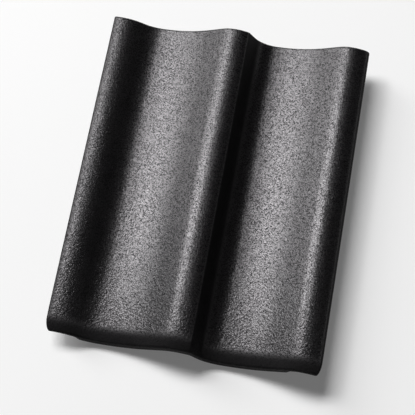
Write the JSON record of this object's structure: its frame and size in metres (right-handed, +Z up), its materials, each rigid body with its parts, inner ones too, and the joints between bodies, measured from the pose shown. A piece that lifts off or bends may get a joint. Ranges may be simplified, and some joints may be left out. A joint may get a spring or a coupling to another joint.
{
  "type": "concrete roof tile",
  "caption": "Interlocking double pantile of black coated concrete: unequal waves, lowered underlap, overhanging cover lap, rounded foot and hanging nibs under the head.",
  "frame": {"origin": "middle of the tile's outline, on the level floor that it lies on", "axes": "+X across the tile from the underlap to the cover lap, +Y from the foot up to the head, +Z up"},
  "size_m": [0.332, 0.42, 0.0536],
  "materials": {
    "coated_concrete": "satin black coating over grainy pressed concrete"
  },
  "bodies": {
    "root": {"roof_tile": "coated_concrete"}
  },
  "joints": []
}
